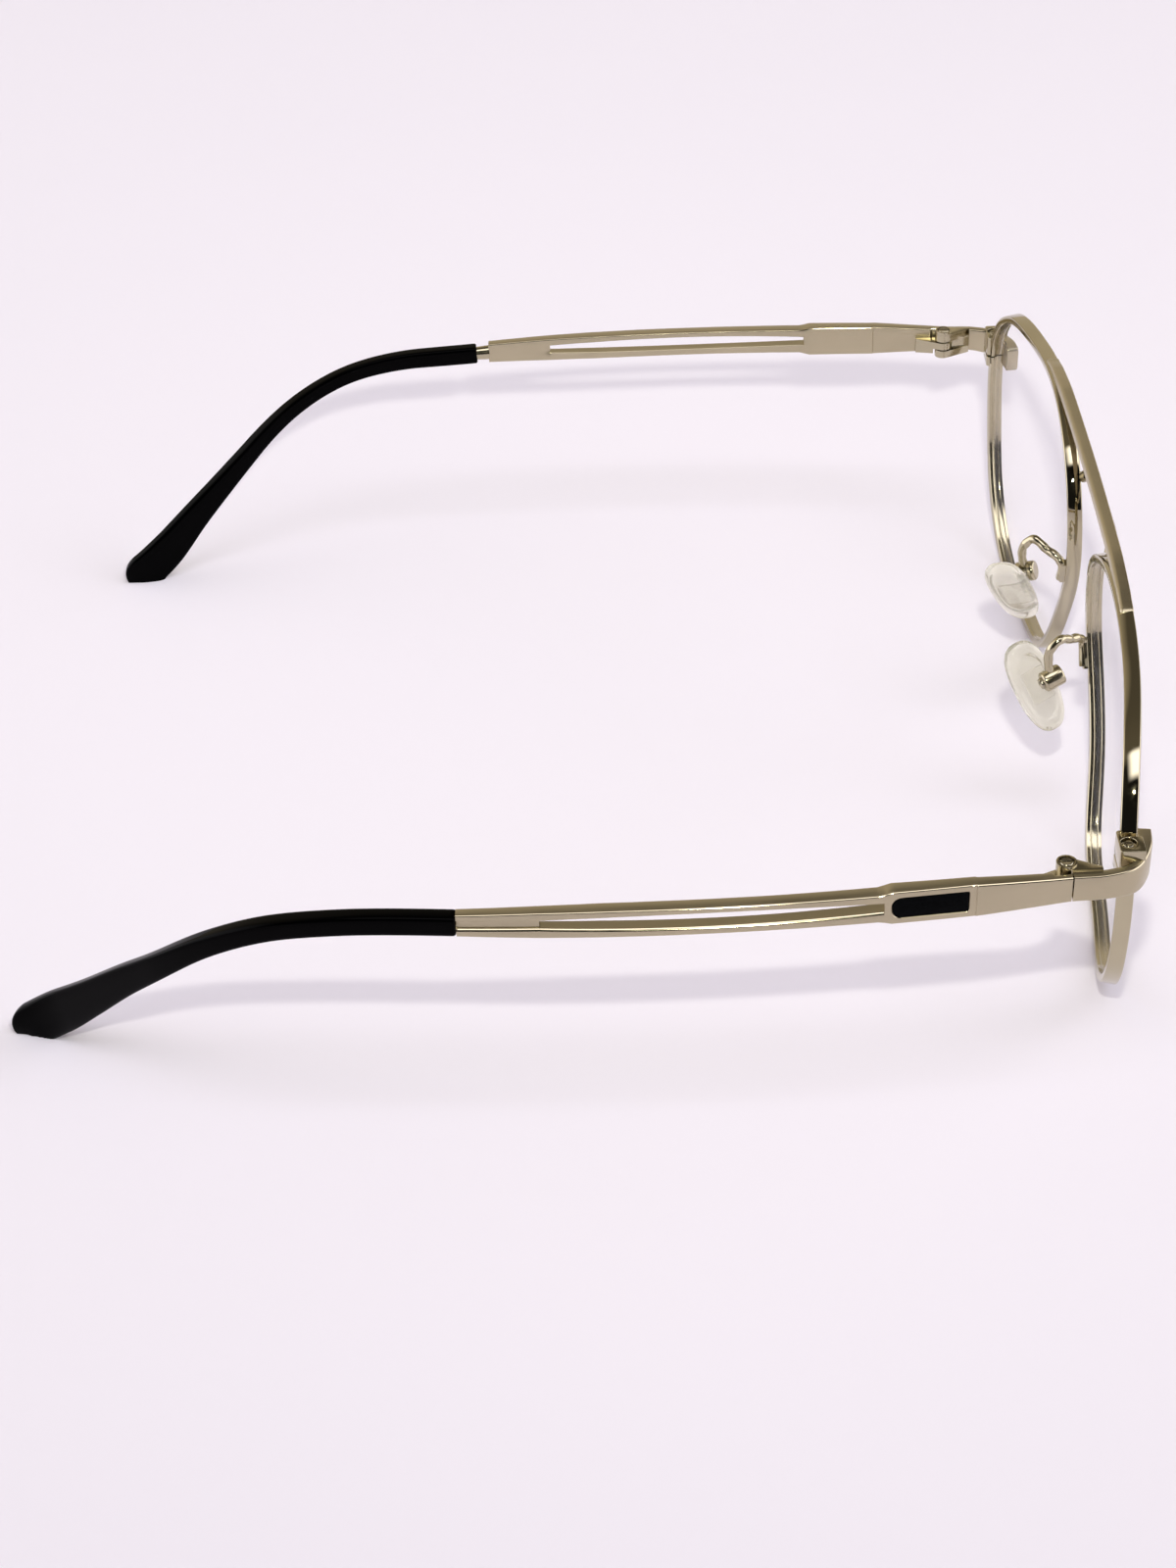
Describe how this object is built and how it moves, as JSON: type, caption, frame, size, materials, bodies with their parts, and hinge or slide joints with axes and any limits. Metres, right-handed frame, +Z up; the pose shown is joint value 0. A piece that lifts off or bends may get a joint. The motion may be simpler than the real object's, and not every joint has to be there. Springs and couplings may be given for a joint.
{
  "type": "eyeglasses",
  "caption": "Open metal eyeglasses with teardrop rims, a straight brow bar over a bowed lower bridge, slotted folding temples with black tips and rocking silicone nose pads.",
  "frame": {"origin": "middle of the footprint on the table the open glasses stand on", "axes": "+X the way the wearer looks, +Y to the wearer's left, +Z up"},
  "size_m": [0.1478, 0.148, 0.0485],
  "materials": {
    "satin_gold": "satin pale gold plating",
    "polished_gold": "polished pale gold plating",
    "screw_gold": "plain plated screw",
    "clear_lens": "clear polished",
    "clear_insert": "clear moulded",
    "silicone": "soft translucent moulded",
    "gloss_black": "glossy moulded black",
    "matt_black": "matt black"
  },
  "bodies": {
    "front": {"left_rim": "polished_gold", "left_lens": "clear_lens", "left_upper_rim_lock": "polished_gold", "left_lower_rim_lock": "polished_gold", "left_rim_lock_screw": "screw_gold", "left_end_piece": "satin_gold", "left_pad_arm": "polished_gold", "left_pad_box": "polished_gold", "left_pad_screw": "screw_gold", "left_front_hinge_leaf": "polished_gold", "left_hinge_screw": "screw_gold", "right_rim": "polished_gold", "right_lens": "clear_lens", "right_upper_rim_lock": "polished_gold", "right_lower_rim_lock": "polished_gold", "right_rim_lock_screw": "screw_gold", "right_end_piece": "satin_gold", "right_pad_arm": "polished_gold", "right_pad_box": "polished_gold", "right_pad_screw": "screw_gold", "right_front_hinge_leaf": "polished_gold", "right_hinge_screw": "screw_gold", "top_bar": "satin_gold", "lower_bridge": "polished_gold"},
    "left_temple_arm": {"left_temple": "satin_gold", "left_temple_hinge_leaf": "polished_gold", "left_temple_inlay": "matt_black", "left_temple_tip": "gloss_black"},
    "left_pad": {"left_nose_pad": "silicone", "left_pad_insert": "clear_insert"},
    "right_temple_arm": {"right_temple": "satin_gold", "right_temple_hinge_leaf": "polished_gold", "right_temple_inlay": "matt_black", "right_temple_tip": "gloss_black"},
    "right_pad": {"right_nose_pad": "silicone", "right_pad_insert": "clear_insert"}
  },
  "joints": [
    {"name": "left_temple_hinge", "type": "hinge", "parent": "front", "child": "left_temple_arm", "pos_m": [0.05898, 0.0683, 0.03205], "axis": [0, 0, 1], "range_deg": [0, 86]},
    {"name": "left_pad_rock", "type": "hinge", "parent": "front", "child": "left_pad", "pos_m": [0.06557, 0.01373, 0.02334], "axis": [0.8898, -0.3311, 0.3141], "range_deg": [-8, 8]},
    {"name": "right_temple_hinge", "type": "hinge", "parent": "front", "child": "right_temple_arm", "pos_m": [0.05898, -0.0683, 0.03205], "axis": [0, 0, -1], "range_deg": [0, 80]},
    {"name": "right_pad_rock", "type": "hinge", "parent": "front", "child": "right_pad", "pos_m": [0.06557, -0.01373, 0.02334], "axis": [0.8898, 0.3311, 0.3141], "range_deg": [-8, 8]}
  ]
}
